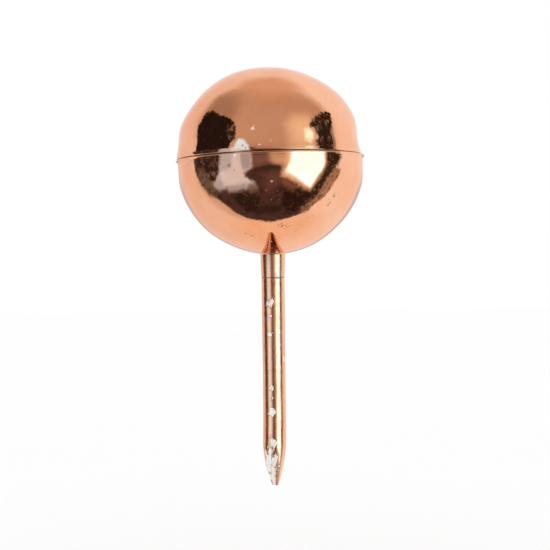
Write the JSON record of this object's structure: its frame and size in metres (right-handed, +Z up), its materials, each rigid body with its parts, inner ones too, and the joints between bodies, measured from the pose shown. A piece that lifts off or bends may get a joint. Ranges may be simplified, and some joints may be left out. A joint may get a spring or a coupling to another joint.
{
  "type": "ball-head nail",
  "caption": "Ball-head nail: a hollow copper-plated ball of two plugged half shells, riveted to a round steel pin with a bullet-shaped point.",
  "frame": {"origin": "on the pin's axis at its shoulder, where the neck of the ball ends and the bare shank begins", "axes": "+Z up along the pin from the point to the ball"},
  "size_m": [0.01, 0.01, 0.0221],
  "materials": {
    "copper_plate": "bright copper plating on drawn steel",
    "plated_wire": "bright copper plating on steel wire, worn through to the steel near the point",
    "cast_filling": "cast resin, dull"
  },
  "bodies": {
    "root": {"upper_shell": "copper_plate", "lower_shell": "copper_plate", "shank_pin": "plated_wire", "core_filling": "cast_filling"}
  },
  "joints": []
}
